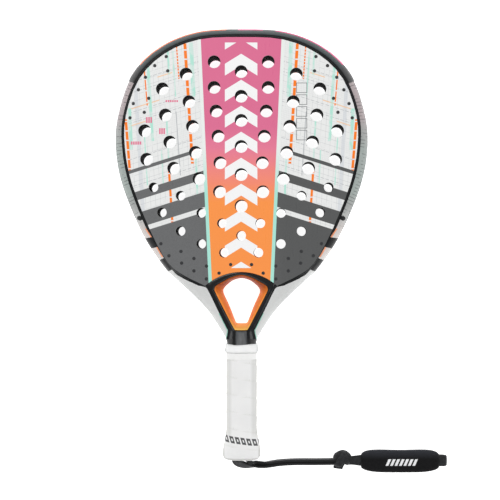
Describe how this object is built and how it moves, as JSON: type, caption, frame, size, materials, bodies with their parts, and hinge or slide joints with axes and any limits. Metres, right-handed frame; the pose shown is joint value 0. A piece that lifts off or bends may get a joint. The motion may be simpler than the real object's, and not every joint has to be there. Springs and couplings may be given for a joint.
{
  "type": "padel racket",
  "caption": "Padel racket with a perforated foam-cored face, open throat, wound grip, and a knotted wrist strap with a padded cuff.",
  "frame": {"origin": "middle of the racket's outline, without the strap, on the plane of its rear face", "axes": "+Y along the racket to the tip of the head, +Z out of the front face, +X to the right seen from the front"},
  "size_m": [0.3433, 0.4572, 0.038],
  "materials": {
    "frame_moulding": "satin lacquer over carbon and glass fibre",
    "dark_moulding": "dark satin lacquer over carbon fibre",
    "throat_liner": "orange satin lacquer",
    "face_print": "printed graphics under clear lacquer",
    "core_foam": "black foam, open at the holes",
    "protector_skin": "satin",
    "handle_foam": "rigid foam",
    "white_plastic": "moulded",
    "staple_steel": "bright wire",
    "base_grip_foam": "cushioned synthetic leather",
    "overgrip_tape": "tacky white wrap",
    "finishing_tape": "printed self-adhesive tape",
    "collar_rubber": "soft white rubber",
    "strap_webbing": "woven nylon",
    "cuff_fabric": "knitted, padded",
    "cuff_padding": "soft foam"
  },
  "bodies": {
    "racket": {"frame": "frame_moulding", "throat_bridge": "dark_moulding", "throat_liner": "throat_liner", "front_face": "face_print", "rear_face": "face_print", "foam_core": "core_foam", "head_protector": "protector_skin", "handle_shaft": "dark_moulding", "handle_foam": "handle_foam", "butt_cap": "white_plastic", "cap_staples": "staple_steel", "base_grip": "base_grip_foam", "overgrip": "overgrip_tape", "finishing_tape": "finishing_tape", "grip_collar": "collar_rubber", "strap_lead_left": "strap_webbing", "strap_lead_right": "strap_webbing"},
    "strap": {"strap_run_upper": "strap_webbing", "strap_run_lower": "strap_webbing", "strap_knot": "strap_webbing", "strap_tail": "strap_webbing", "wrist_loop": "strap_webbing"},
    "cuff": {"cuff_cover": "cuff_fabric", "cuff_foam": "cuff_padding"}
  },
  "joints": [
    {"name": "strap_swing", "type": "hinge", "parent": "racket", "child": "strap", "pos_m": [0.019, -0.229, 0.006], "axis": [0, 0, 1], "range_deg": [-90, 35]},
    {"name": "cuff_slide", "type": "slide", "parent": "strap", "child": "cuff", "axis": [1, 0, 0], "range_m": [-0.005, 0.0035]}
  ]
}
